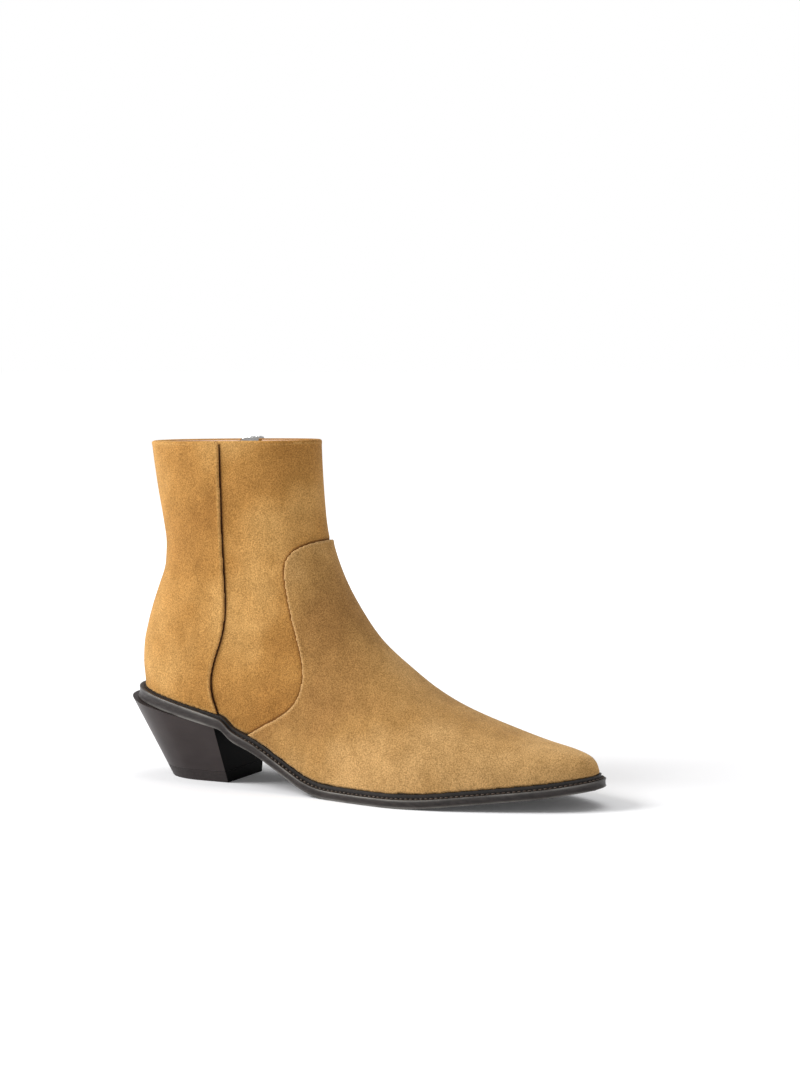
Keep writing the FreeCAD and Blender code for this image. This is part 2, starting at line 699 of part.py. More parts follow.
def zip_row(node, side, first):
    """One row of teeth beside the zip line, in the zip's own frame: X across, Y down the zip, Z out."""
    teeth = []
    left = size("tooth_inner") if side > 0 else -size("tooth_outer")
    at = first
    while at < zip_length - FIRST_TOOTH:
        corner = Vector(left, at, tooth_floor)
        teeth.append(Part.makeBox(tooth_width, size("tooth_length"), size("tooth_depth"), corner))
        at += size("tooth_pitch")
    keep(node, Part.makeCompound(teeth), ZIP_PLACE)


zip_row("zip_teeth_front", 1, FIRST_TOOTH)
zip_row("zip_teeth_rear", -1, FIRST_TOOTH + size("tooth_pitch") / 2)
stops = []
for edge in (size("tooth_inner"), -size("tooth_outer")):
    corner = Vector(edge, 0.0, tooth_floor)
    stops.append(Part.makeBox(tooth_width, TOP_STOP_LENGTH, size("tooth_depth"), corner))
keep("zip_top_stops", Part.makeCompound(stops), ZIP_PLACE)
stop_width = 2 * size("tooth_outer")
stop_depth = size("tooth_depth") + BOTTOM_STOP_EXTRA
stop_corner = Vector(-stop_width / 2, zip_length - BOTTOM_STOP_LAP, tooth_floor)
bottom_stop = Part.makeBox(stop_width, BOTTOM_STOP_LENGTH, stop_depth, stop_corner)
keep("zip_bottom_stop", bottom_stop, ZIP_PLACE)


def plate_sketch(body, name, level_alias, points):
    """Closed outline of straight edges on the body's XY plane, raised to a level from the sheet."""
    sketch = body.newObject("Sketcher::SketchObject", name)
    sketch.AttachmentSupport = [(origin_plane(body, "XY_Plane"), "")]
    sketch.MapMode = "FlatFace"
    sketch.setExpression(".AttachmentOffset.Base.z", level_alias)
    draw_outline(sketch, points)
    return sketch


def pad(body, name, base, points, length):
    """A plate of straight edges, from a base level to a thickness, both from the sheet."""
    outline = plate_sketch(body, f"{name}Outline", base, points)
    feature = body.newObject("PartDesign::Pad", name)
    feature.Profile = outline
    feature.setExpression("Length", length)
    doc.recompute()


def rectangle(half, start, end):
    """Corners of an upright rectangle about the zip line."""
    return [(-half, start), (half, start), (half, end), (-half, end)]


slider = doc.addObject("PartDesign::Body", "zip_slider")
slider.Label = "zip_slider"
upper_edge = size("slider_top")
lower_edge = upper_edge + size("slider_length")
wide = size("slider_half")
neck = size("slider_neck")
SHOULDER_INSET = 2.2
SHOULDER_DROP = 2.4
FULL_SHARE = 0.55
POST_INSET = 0.2
POST_END = 2.6
BRIDGE_REACH = 4.2
WINDOW_REACH = 3.0
BRIDGE_WALL = 1.0
crown = wide - SHOULDER_INSET
shoulder = upper_edge + SHOULDER_DROP
waist_edge = upper_edge + size("slider_length") * FULL_SHARE
plate = [(-crown, upper_edge), (crown, upper_edge), (wide, shoulder), (wide, waist_edge),
         (neck, lower_edge), (-neck, lower_edge), (-wide, waist_edge), (-wide, shoulder)]
post = rectangle(size("post_half"), upper_edge + POST_INSET, POST_END)
post_base = "Sizes.plate_inner_level + Sizes.plate_thickness / 2"
post_length = "Sizes.plate_level - Sizes.plate_inner_level"
bridge_start = size("hinge_along") - BRIDGE_REACH
bridge = rectangle(size("bridge_half"), bridge_start, bridge_start + 2 * BRIDGE_REACH)
bridge_base = "Sizes.plate_level + Sizes.plate_thickness / 2"
pad(slider, "OuterPlate", "Sizes.plate_level", plate, "Sizes.plate_thickness")
pad(slider, "Post", post_base, post, post_length)
pad(slider, "InnerPlate", "Sizes.plate_inner_level", plate, "Sizes.plate_thickness")
pad(slider, "Bridge", bridge_base, bridge, "Sizes.bridge_height")
window_sketch = slider.newObject("Sketcher::SketchObject", "WindowOutline")
window_sketch.AttachmentSupport = [(origin_plane(slider, "YZ_Plane"), "")]
window_sketch.MapMode = "FlatFace"
window_low = size("plate_level") + size("plate_thickness")
window_high = size("plate_level") + size("plate_thickness") / 2 + size("bridge_height") - BRIDGE_WALL
window_start = size("hinge_along") - WINDOW_REACH
window_end = size("hinge_along") + WINDOW_REACH
draw_outline(window_sketch, [(window_start, window_low), (window_end, window_low),
                             (window_end, window_high), (window_start, window_high)])
doc.recompute()
solid_slider = slider.Shape.Volume
window_cut = slider.newObject("PartDesign::Pocket", "Window")
window_cut.Profile = window_sketch
window_cut.Type = 1
window_cut.Midplane = True
doc.recompute()
assert slider.Shape.Volume < solid_slider, "the bridge's window cuts nothing"
slider.Placement = ZIP_PLACE
subparts.append(slider)

hang = (Vector(0, 0, -1) - across * -across.z).normalize()
pull_out = across.cross(hang)
hinge = zip_head + down * size("hinge_along") + zip_out * size("hinge_out")
PULL_PLACE = Placement(hinge + SHIFT, Rotation(across, hang, pull_out, "XYZ"))
puller = doc.addObject("PartDesign::Body", "zip_pull")
puller.Label = "zip_pull"
arm_inner = size("bridge_half") + 0.5
arm = size("pull_half")
arm_top = -0.8
tip = size("pull_tip_half")
length = size("pull_length")
loop_end = 6.5
loop_floor = loop_end - 1.2
narrow = loop_end + 5.0
swell = tip + 0.5
corner_inset = tip - 0.6
corner_start = length - 2.0
half_outline = [(arm_inner, loop_floor), (arm_inner, arm_top), (arm, arm_top), (arm, loop_end), (tip, narrow),
                (swell, corner_start), (corner_inset, length)]
pull_outline = half_outline + [(-x, y) for x, y in reversed(half_outline)]
pad(puller, "Bar", "-Sizes.pull_thickness / 2", pull_outline, "Sizes.pull_thickness")
BAR_SHORT = 0.4
cross_circle = puller.newObject("Sketcher::SketchObject", "CrossBarOutline")
cross_circle.AttachmentSupport = [(origin_plane(puller, "YZ_Plane"), "")]
cross_circle.MapMode = "FlatFace"
cross_circle.addGeometry(Part.Circle(Vector(0, 0, 0), Vector(0, 0, 1), size("pull_bar_radius")), False)
doc.recompute()
cross_bar = puller.newObject("PartDesign::Pad", "CrossBar")
cross_bar.Profile = cross_circle
cross_bar.Midplane = True
cross_bar.Length = 2 * arm - BAR_SHORT
doc.recompute()
puller.Placement = PULL_PLACE
subparts.append(puller)

# ---------------------------------------------------------------- checks and files
doc.recompute()
for item in doc.Objects:
    assert "Invalid" not in item.State and "Error" not in item.State, (item.Name, item.State)
for item in subparts:
    assert not item.Shape.isNull() and item.Shape.isValid() and item.Shape.Volume > 0, item.Label
    item.Shape.exportStep(f"parts/{item.Label}.step")
    print(item.Label, len(item.Shape.Solids), round(item.Shape.Volume))
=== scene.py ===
import json
import math

import bmesh
import bpy
from mathutils import Matrix, Vector, kdtree, noise
from mathutils.bvhtree import BVHTree


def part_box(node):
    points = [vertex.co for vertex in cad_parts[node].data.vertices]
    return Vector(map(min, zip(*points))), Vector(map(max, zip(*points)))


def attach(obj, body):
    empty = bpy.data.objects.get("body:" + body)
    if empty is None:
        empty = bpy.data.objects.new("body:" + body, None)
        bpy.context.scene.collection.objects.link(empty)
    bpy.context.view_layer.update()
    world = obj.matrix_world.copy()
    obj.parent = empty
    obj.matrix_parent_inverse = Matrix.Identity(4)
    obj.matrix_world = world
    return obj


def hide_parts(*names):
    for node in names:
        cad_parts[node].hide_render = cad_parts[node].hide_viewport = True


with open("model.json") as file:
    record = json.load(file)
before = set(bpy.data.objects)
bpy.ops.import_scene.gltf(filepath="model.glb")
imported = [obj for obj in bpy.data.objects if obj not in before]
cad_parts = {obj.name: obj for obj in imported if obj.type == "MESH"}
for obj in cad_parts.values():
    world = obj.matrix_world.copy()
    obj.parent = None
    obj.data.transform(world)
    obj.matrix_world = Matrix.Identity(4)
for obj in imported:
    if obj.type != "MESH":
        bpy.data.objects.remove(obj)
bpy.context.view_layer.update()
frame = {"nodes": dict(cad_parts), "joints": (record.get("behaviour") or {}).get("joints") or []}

# ------------------------------------------------------------------ insole board, filler and shank
# The bottom filling: a pressed fibre board that the upper is lasted to with a foam pad under the
# heel, granulated cork laid level inside the stitched strip, a steel shank and the heel's nails.
MM = 0.001
nodes = frame["nodes"]


def new_material(name, roughness, metallic=0.0):
    """A material with an empty Principled shader, its node tree and that shader."""
    material = bpy.data.materials.new(name)
    material.use_nodes = True
    tree = material.node_tree
    shader = tree.nodes["Principled BSDF"]
    shader.inputs["Roughness"].default_value = roughness
    shader.inputs["Metallic"].default_value = metallic
    return material, tree, shader


def add_node(tree, kind, **settings):
    """A shader node with its inputs and properties set by name."""
    node = tree.nodes.new(kind)
    for key, value in settings.items():
        if key in node.inputs:
            node.inputs[key].default_value = value
        else:
            setattr(node, key, value)
    return node


def speckle(tree, scale, detail, stretch=(1, 1, 1)):
    """Noise in the object's own space, in metres, stretched along its axes."""
    place = add_node(tree, "ShaderNodeTexCoord")
    turn = add_node(tree, "ShaderNodeMapping")
    turn.inputs["Scale"].default_value = stretch
    grain = add_node(tree, "ShaderNodeTexNoise", Scale=scale, Detail=detail)
    tree.links.new(place.outputs["Object"], turn.inputs["Vector"])
    tree.links.new(turn.outputs["Vector"], grain.inputs["Vector"])
    return grain.outputs["Fac"]


def ramp(tree, factor, stops):
    """A colour ramp through (place, colour) stops."""
    node = add_node(tree, "ShaderNodeValToRGB")
    points = node.color_ramp.elements
    while len(points) < len(stops):
        points.new(0.5)
    for point, (place, colour) in zip(points, stops):
        point.position = place
        point.color = (*colour, 1.0)
    tree.links.new(factor, node.inputs["Fac"])
    return node.outputs["Color"]


def blend_colours(tree, factor, low, high, kind="MIX"):
    """Two colours mixed by a factor socket or number."""
    node = add_node(tree, "ShaderNodeMix", data_type="RGBA", blend_type=kind)
    for socket, value in ((node.inputs[0], factor), (node.inputs[6], low), (node.inputs[7], high)):
        if isinstance(value, bpy.types.NodeSocket):
            tree.links.new(value, socket)
        elif isinstance(value, (int, float)):
            socket.default_value = value
        else:
            socket.default_value = (*value, 1.0)
    return node.outputs[2]


def bump(tree, height, distance, strength, below=None):
    """A bump from a height socket, over another one if given."""
    node = add_node(tree, "ShaderNodeBump", Distance=distance, Strength=strength)
    tree.links.new(height, node.inputs["Height"])
    if below:
        tree.links.new(below, node.inputs["Normal"])
    return node.outputs["Normal"]


def remap(tree, value, source, target, kind="SMOOTHSTEP"):
    """A socket's value carried from one range to another."""
    node = add_node(tree, "ShaderNodeMapRange", interpolation_type=kind)
    for key, number in zip(("From Min", "From Max", "To Min", "To Max"), (*source, *target)):
        node.inputs[key].default_value = number
    tree.links.new(value, node.inputs["Value"])
    return node.outputs["Result"]


def grained(name, roughness, grain, stops, relief, metallic=0.0, gloss=None):
    """A material whose colour and relief both follow one grain (noise scale, detail and stretch)."""
    material, tree, shader = new_material(name, roughness, metallic)
    if gloss is not None:
        shader.inputs["Specular IOR Level"].default_value = gloss
    pattern = speckle(tree, *grain)
    tree.links.new(ramp(tree, pattern, stops), shader.inputs["Base Color"])
    tree.links.new(bump(tree, pattern, *relief), shader.inputs["Normal"])
    return material


def paint(node_name, material):
    """A carried-over piece gets a material in its own slots."""
    piece = nodes[node_name]
    piece.data.materials.clear()
    piece.data.materials.append(material)


board = grained("pressed_fibre_board", 0.85, (420, 6, (1, 3, 1)),
                [(0.3, (0.30, 0.19, 0.11)), (0.7, (0.46, 0.32, 0.20))], (0.0003, 0.4))
paint("insole_board", board)

cork = grained("granulated_cork", 0.9, (350, 3),
               [(0.35, (0.20, 0.11, 0.05)), (0.6, (0.42, 0.27, 0.15))], (0.0006, 0.6))
paint("cork_filler", cork)

foam = grained("open_cell_foam", 0.95, (900, 2),
               [(0.35, (0.55, 0.50, 0.38)), (0.65, (0.75, 0.70, 0.58))], (0.0004, 0.6))
paint("heel_pad", foam)

steel = grained("rolled_steel", 0.38, (260, 4, (0.15, 4, 4)),
                [(0.3, (0.36, 0.36, 0.38)), (0.7, (0.52, 0.52, 0.53))], (0.00005, 0.3), metallic=1.0)
for name in ("shank", "heel_screw", "heel_nails", "top_lift_pins"):
    paint(name, steel)

# ------------------------------------------------------------------ stiffeners and interlinings
# Toe puff and heel counter of white thermoplastic board, and woven interlining cemented behind
# the suede, with a reinforcing tape under the topline.
BAND_LENGTH = 0.32
stiff = grained("thermoplastic_board", 0.6, (700, 4),
                [(0.3, (0.62, 0.60, 0.54)), (0.7, (0.74, 0.72, 0.66))], (0.0001, 0.3))
for name in ("toe_puff", "heel_counter"):
    paint(name, stiff)


def woven(name, colour_low, colour_high, pitch, roughness=0.85):
    """A plain-woven cloth of crossed waves in the object's own space."""
    material, tree, shader = new_material(name, roughness)
    place = add_node(tree, "ShaderNodeTexCoord")
    threads = []
    for direction in ("X", "Z"):
        wave = add_node(tree, "ShaderNodeTexWave", wave_type="BANDS", bands_direction=direction,
                        Scale=BAND_LENGTH / pitch)
        tree.links.new(place.outputs["Object"], wave.inputs["Vector"])
        threads.append(wave.outputs["Fac"])
    mesh_height = add_node(tree, "ShaderNodeMath", operation="MULTIPLY")
    tree.links.new(threads[0], mesh_height.inputs[0])
    tree.links.new(threads[1], mesh_height.inputs[1])
    colour = ramp(tree, mesh_height.outputs[0], [(0.1, colour_low), (0.8, colour_high)])
    tree.links.new(colour, shader.inputs["Base Color"])
    tree.links.new(bump(tree, mesh_height.outputs[0], pitch * 0.3, 0.7), shader.inputs["Normal"])
    return material


interlining = woven("woven_interlining", (0.50, 0.48, 0.43), (0.74, 0.72, 0.66), 0.0006)
for name in ("vamp_interlining", "back_interlining", "quarter_interlining", "topline_tape"):
    paint(name, interlining)

# ------------------------------------------------------------------ lining and sock
# Nude pigskin-like lining leather inside the shaft and vamp, and a padded leather sock glued
# over the insole board; matt, with fine pores and slight tone changes from handling.
lining_leather, tree, shader = new_material("nude_lining_leather", 0.55)
pores = speckle(tree, 1400, 3)
tone = speckle(tree, 22, 4)
base = ramp(tree, tone, [(0.3, (0.66, 0.42, 0.29)), (0.7, (0.78, 0.53, 0.39))])
dots = ramp(tree, pores, [(0.30, (0.72, 0.72, 0.72)), (0.46, (1, 1, 1))])
tree.links.new(blend_colours(tree, 1.0, base, dots, "MULTIPLY"), shader.inputs["Base Color"])
tree.links.new(bump(tree, pores, 0.0001, 0.35), shader.inputs["Normal"])
paint("vamp_lining", lining_leather)

# ------------------------------------------------------------------ vamp, quarter and back panel
# The upper: three panels of split suede, about 1.5 mm thick, with skived and folded edges that
# lie proud of the panel under them. The nap is brushed, so it shows cloudy lighter patches.
SHAFT_VOXEL = 0.75 * MM
VAMP_VOXEL = 0.86 * MM
EDGE_ANGLE = math.radians(50)
EDGE_STEP = 0.5 * MM
FOLD_REACH = 1.6 * MM
FOLD_RISE = 0.32 * MM
LAP_REACH = 1.0 * MM
LAP_DIP = 0.5 * MM
DENT_SCALE = 26.0
DENT_DEPTH = 0.45 * MM
NO_EDGE_NEAR = 50.0
DENT_FADE = 6.0
SEAM_SHADE = (0.055, 0.018, 0.005)
TAB_SHADE = (0.20, 0.085, 0.022)


def merged_copy(node_name):
    """A bmesh of a frame piece with its loose triangles joined."""
    shape = bmesh.new()
    shape.from_mesh(nodes[node_name].data)
    bmesh.ops.remove_doubles(shape, verts=shape.verts, dist=2e-6)
    return shape


def add_piece(name, shape, material, body="root", crease=180):
    """A finished mesh as an object that rides on a body, smooth but for edges over the crease angle."""
    mesh = bpy.data.meshes.new(name)
    shape.to_mesh(mesh)
    shape.free()
    piece = bpy.data.objects.new(name, mesh)
    bpy.context.scene.collection.objects.link(piece)
    mesh.materials.append(material)
    mesh.polygons.foreach_set("use_smooth", [True] * len(mesh.polygons))
    if crease < 180:
        mesh.set_sharp_from_angle(angle=math.radians(crease))
    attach(piece, body)
    return piece


def edge_points(node_name):
    """Points along the crisp cut edges of a frame piece."""
    shape = merged_copy(node_name)
    spots = []
    for edge in shape.edges:
        if len(edge.link_faces) == 2 and edge.calc_face_angle(0) > EDGE_ANGLE:
            start, end = (vertex.co for vertex in edge.verts)
            steps = max(1, int((end - start).length / EDGE_STEP))
            spots += [start.lerp(end, step / steps) for step in range(steps + 1)]
    shape.free()
    return spots


def point_tree(spots):
    """A search tree over points."""
    tree_of_spots = kdtree.KDTree(len(spots))
    for index, spot in enumerate(spots):
        tree_of_spots.insert(spot, index)
    tree_of_spots.balance()
    return tree_of_spots


def apply_modifiers(piece):
    """The piece's modifiers made part of its mesh."""
    graph = bpy.context.evaluated_depsgraph_get()
    mesh = bpy.data.meshes.new_from_object(piece.evaluated_get(graph))
    piece.modifiers.clear()
    plain = piece.data
    piece.data = mesh
    bpy.data.meshes.remove(plain)


def even_skin(piece, voxel, passes):
    """An even mesh over the piece, with its corners rounded a little."""
    skin = piece.modifiers.new("skin", "REMESH")
    skin.mode = "VOXEL"
    skin.voxel_size = voxel
    soften = piece.modifiers.new("soften", "SMOOTH")
    soften.factor = 0.5
    soften.iterations = passes
    apply_modifiers(piece)


def suede_panel(name, node_name, material, voxel, laps=()):
    """A leather panel from a frame piece: rounded folded edges, a dip beside panels that cover it."""
    trees = {"edge_mm": point_tree(edge_points(node_name)), "seam_mm": None, "tab_mm": None}
    for attribute, cover in laps:
        trees[attribute] = point_tree(edge_points(cover))
    piece = add_piece(name, merged_copy(node_name), material)
    even_skin(piece, voxel, 4)
    mesh = piece.data
    spots = [vertex.co.copy() for vertex in mesh.vertices]
    ways = [vertex.normal.copy() for vertex in mesh.vertices]
    gaps = {}
    for attribute, spot_tree in trees.items():
        gaps[attribute] = [spot_tree.find(spot)[2] / MM if spot_tree else NO_EDGE_NEAR for spot in spots]
        mesh.attributes.new(attribute, "FLOAT", "POINT").data.foreach_set("value", gaps[attribute])
    for vertex, spot, way, own, seam, tab in zip(mesh.vertices, spots, ways, *gaps.values()):
        dent = DENT_DEPTH * noise.noise(spot * DENT_SCALE) * min(own / DENT_FADE, 1)
        rise = FOLD_RISE * math.exp(-((own * MM / FOLD_REACH) ** 2))
        dip = LAP_DIP * math.exp(-((min(seam, tab) * MM / LAP_REACH) ** 2))
        vertex.co = spot + way * (rise + dent - dip)
    mesh.polygons.foreach_set("use_smooth", [True] * len(mesh.polygons))
    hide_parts(node_name)
    return piece


def near_edge(tree, attribute, reach, colour, base):
    """The base colour, changed towards another within a reach in mm of an edge named by an attribute."""
    distance = add_node(tree, "ShaderNodeAttribute", attribute_name=attribute)
    share = remap(tree, distance.outputs["Fac"], reach, (1.0, 0.0))
    return blend_colours(tree, share, base, colour)


def suede(name, dark, middle, light, fold_highlight):
    """Brushed suede: cloudy nap, fine fibre grain, a painted highlight on folded edges, painted shade
    under a covering panel.
    """
    material, tree, shader = new_material(name, 0.95)
    shader.inputs["Sheen Weight"].default_value = 0.25
    shader.inputs["Sheen Roughness"].default_value = 0.45
    shader.inputs["Sheen Tint"].default_value = (1.0, 0.78, 0.48, 1.0)
    shader.inputs["Specular IOR Level"].default_value = 0.1
    clouds = ramp(tree, speckle(tree, 15, 3), [(0.36, dark), (0.5, middle), (0.64, light)])
    strokes = speckle(tree, 150, 6, (1, 1, 0.6))
    brushed = ramp(tree, strokes, [(0.34, (0.90, 0.89, 0.86)), (0.66, (1.08, 1.08, 1.09))])
    nap = speckle(tree, 1500, 5)
    fibre = ramp(tree, nap, [(0.36, (0.71, 0.68, 0.62)), (0.64, (1.25, 1.25, 1.25))])
    colour = blend_colours(tree, 1.0, clouds, brushed, "MULTIPLY")
    # painted highlight: a paler colour along the folded edges
    colour = near_edge(tree, "edge_mm", (0.2, 2.0), fold_highlight, colour)
    colour = blend_colours(tree, 1.0, colour, fibre, "MULTIPLY")
    colour = near_edge(tree, "tab_mm", (0.2, 1.7), TAB_SHADE, colour)
    colour = near_edge(tree, "seam_mm", (0.3, 1.35), SEAM_SHADE, colour)
    tree.links.new(colour, shader.inputs["Base Color"])
    first = bump(tree, strokes, 0.0006, 0.25)
    tree.links.new(bump(tree, nap, 0.0005, 0.8, first), shader.inputs["Normal"])
    return material


# The last colour of each suede is the painted highlight along its folded edges.
shaft_suede = suede("tan_suede", (0.350, 0.165, 0.041), (0.44, 0.222, 0.060), (0.56, 0.315, 0.105),
                    (0.54, 0.30, 0.10))
vamp_suede = suede("tan_suede_vamp", (0.345, 0.178, 0.057), (0.43, 0.238, 0.079), (0.545, 0.326, 0.130),
                   (0.50, 0.30, 0.125))
suede_panel("suede_quarter", "quarter", shaft_suede, SHAFT_VOXEL,
            laps=(("tab_mm", "vamp"), ("seam_mm", "back_panel")))
suede_panel("suede_back_panel", "back_panel", shaft_suede, SHAFT_VOXEL)
suede_panel("suede_vamp", "vamp", vamp_suede, VAMP_VOXEL)

# ------------------------------------------------------------------ folded topline and zip stitches
# The suede is turned over the shaft's rim onto the lining, from the front of the zip round to its
# back, and cemented. One row of fine thread on each side holds the zip.
SHAFT_MIDDLE = Vector((-73.0, 3.4, 0)) * MM
BEYOND_SHAFT = 200 * MM
RIM_TURN = 1.2
RIM_ARCH = 8
RIM_BELOW = 0.9 * MM
RIM_CROWN = 1.1 * MM
RIM_PROUD = 0.15 * MM
RIM_WALL = 2.7 * MM
RIM_SCAN = 1.6 * MM
QUARTER_RIM = (-89.5, 88.0)
BACK_RIM = (99.0, 271.5)
STITCH_PITCH = 2.1 * MM
FINE_STITCH = (0.26 * MM, 0.78 * MM, 0.20 * MM)
LINING_NODES = ("lateral_lining", "medial_lining", "back_lining")
ZIP_FRONT_ROW = ((-66.6, 176.5), (-65.5, 149.0), (-62.9, 117.0), (-58.9, 94.0), (-54.9, 78.0))
ZIP_REAR_ROW = ((-83.0, 175.5), (-79.2, 128.0), (-75.7, 80.0))
ROW_PARTS = 8
RIM_BACK = Vector(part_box("back_panel")[1]) - Vector((2 * MM, 0, 0))
RIM_FRONT = Vector(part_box("topline_tape")[1])
RIM_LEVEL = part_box("topline_tape")[0][2] + 8 * MM


def surface_of(*node_names):
    """A ray-casting tree over several frame pieces together."""
    together = bmesh.new()
    for node_name in node_names:
        together.from_mesh(nodes[node_name].data)
    tree_of_faces = BVHTree.FromBMesh(together)
    together.free()
    return tree_of_faces


def add_stitches(name, places, material, bead):
    """Thread stitches as small rounded beads at (point, direction, surface normal) places."""
    shape = bmesh.new()
    width, length, height = bead
    for point, direction, normal in places:
        side = direction.cross(normal).normalized()
        lift = side.cross(direction).normalized()
        turn = Matrix((side * width, direction.normalized() * length, lift * height)).transposed().to_4x4()
        bmesh.ops.create_uvsphere(shape, u_segments=8, v_segments=5, radius=1.0,
                                  matrix=Matrix.Translation(point) @ turn)
    bmesh.ops.recalc_face_normals(shape, faces=shape.faces)
    return add_piece(name, shape, material)


def evenly(points, pitch):
    """Points spaced evenly along a run of points, each with the run's direction there."""
    places = []
    travelled = 0.0
    due = pitch / 2
    for start, end in zip(points, points[1:]):
        length = (end - start).length
        while due < travelled + length:
            places.append((start.lerp(end, (due - travelled) / length), (end - start).normalized()))
            due += pitch
        travelled += length
    return places


def rim_height(x):
    """Height of the topline over a place along the boot, rising a little to the front."""
    return RIM_BACK.z + (RIM_FRONT.z - RIM_BACK.z) * (x - RIM_BACK.x) / (RIM_FRONT.x - RIM_BACK.x)


thread = grained("sand_thread", 0.7, (2600, 3, (1, 1, 0.4)),
                 [(0.3, (0.42, 0.26, 0.10)), (0.7, (0.70, 0.50, 0.26))], (0.0002, 0.5))
lining_surface = surface_of(*LINING_NODES)
zip_rows = []
for rim_name, rim_node, (first_turn, last_turn) in (("quarter_rim", "quarter", QUARTER_RIM),
                                                    ("back_panel_rim", "back_panel", BACK_RIM)):
    outer_surface = surface_of(rim_node)
    sections = []
    for step in range(int((last_turn - first_turn) / RIM_TURN) + 1):
        turn = math.radians(first_turn + step * RIM_TURN)
        away = Vector((math.cos(turn), math.sin(turn), 0))
        level = SHAFT_MIDDLE + Vector((0, 0, RIM_LEVEL))
        outer = outer_surface.ray_cast(level + away * BEYOND_SHAFT, -away)[0]
        if outer is None:
            continue
        top = rim_height(outer.x)
        level.z = top - RIM_SCAN
        outer = outer_surface.ray_cast(level + away * BEYOND_SHAFT, -away)[0] or outer
        inner = lining_surface.ray_cast(level, away)[0] or outer - away * RIM_WALL
        half = (outer - inner).length / 2 + RIM_PROUD
        middle = Vector(((outer.x + inner.x) / 2, (outer.y + inner.y) / 2, 0))
        section = [middle + away * half + Vector((0, 0, top - RIM_BELOW))]
        for bend in range(RIM_ARCH + 1):
            lean = math.pi * bend / RIM_ARCH
            rise = top - RIM_BELOW / 3 + RIM_CROWN * math.sin(lean)
            section.append(middle + away * half * math.cos(lean) + Vector((0, 0, rise)))
        section.append(middle - away * half + Vector((0, 0, top - RIM_BELOW)))
        sections.append(section)
    shape = bmesh.new()
    ring_verts = [shape.verts.new(spot) for spot in sections[0]]
    ring_edges = [shape.edges.new(pair) for pair in zip(ring_verts, ring_verts[1:] + ring_verts[:1])]
    bmesh.ops.contextual_create(shape, geom=ring_edges)
    for section in sections[1:]:
        grown = bmesh.ops.extrude_edge_only(shape, edges=ring_edges)["geom"]
        ring_edges = [item for item in grown if isinstance(item, bmesh.types.BMEdge)]
        for index, vertex in enumerate(ring_verts):
            ring_verts[index] = next(edge.other_vert(vertex) for edge in vertex.link_edges
                                     if edge.other_vert(vertex) in grown)
            ring_verts[index].co = section[index]
    bmesh.ops.contextual_create(shape, geom=ring_edges)
    bmesh.ops.recalc_face_normals(shape, faces=shape.faces)
    for layer_name in ("edge_mm", "tab_mm", "seam_mm"):
        far_layer = shape.verts.layers.float.new(layer_name)
        for vertex in shape.verts:
            vertex[far_layer] = NO_EDGE_NEAR
    add_piece(rim_name, shape, shaft_suede, crease=60)

for row, row_node in ((ZIP_FRONT_ROW, "quarter"), (ZIP_REAR_ROW, "back_panel")):
    outer_surface = surface_of(row_node)
    run = []
    for (x, z), (next_x, next_z) in zip(row, row[1:]):
        for part in range(ROW_PARTS):
            share = part / ROW_PARTS
            spot = Vector((x + (next_x - x) * share, 0, z + (next_z - z) * share)) * MM
            spot.y = BEYOND_SHAFT
            landing = outer_surface.ray_cast(spot, Vector((0, -1, 0)))[0]
            if landing is not None:
                run.append(landing)
    zip_rows += [(spot, way, outer_surface.find_nearest(spot)[1])
                 for spot, way in evenly(run, STITCH_PITCH)]
add_stitches("upper_stitches", zip_rows, thread, FINE_STITCH)

# ------------------------------------------------------------------ welt strip and its stitches
# A narrow black strip is sewn between the upper and the outsole, set back from the sole's edge;
# its waxed brown lockstitches lie along the ledge from the waist round the toe.
WELT_STITCH = (0.50 * MM, 1.05 * MM, 0.45 * MM)
WELT_PITCH = 2.6 * MM
LEDGE_IN = 1.55 * MM
STITCH_LIFT = 0.30 * MM
STITCH_CANT = 0.22
WAIST_X = -64 * MM
WALL_LEAN = 0.4


def wall_loops(shape, flattest):
    """The upright wall's faces taken off; what is left are the lower and the upper open edges."""
    walls = [face for face in shape.faces if abs(face.normal.z) < flattest]
    bmesh.ops.delete(shape, geom=walls, context="FACES")
    open_edges = [edge for edge in shape.edges if edge.is_boundary]
    lower = [edge for edge in open_edges if edge.link_faces[0].normal.z < 0]
    upper = [edge for edge in open_edges if edge.link_faces[0].normal.z > 0]
    return lower, upper


def in_order(edges):
    """The vertices of one closed loop of edges, in order, anticlockwise from above."""
    first = edges[0].verts[0]
    members = set(edges)
    order = [first]
    edge = edges[0]
    vertex = edge.other_vert(first)
    while vertex is not first:
        order.append(vertex)
        edge = next(other for other in vertex.link_edges if other in members and other is not edge)
        vertex = edge.other_vert(vertex)
    area = sum(a.co.x * b.co.y - b.co.x * a.co.y for a, b in zip(order, order[1:] + order[:1]))
    return order if area > 0 else order[::-1]


def away_from_loop(points):
    """The level direction out of an anticlockwise loop at each of its points."""
    count = len(points)
    ways = []
    for index in range(count):
        along = points[(index + 1) % count] - points[index - 1]
        ways.append(Vector((along.y, -along.x, 0)).normalized())
    return ways


wax = grained("waxed_brown_thread", 0.45, (2400, 3),
              [(0.3, (0.020, 0.011, 0.006)), (0.7, (0.085, 0.050, 0.028))], (0.0002, 0.5))
strip = grained("black_welt_strip", 0.55, (420, 5),
                [(0.35, (0.008, 0.006, 0.005)), (0.75, (0.024, 0.018, 0.015))], (0.0003, 0.5))
paint("welt", strip)

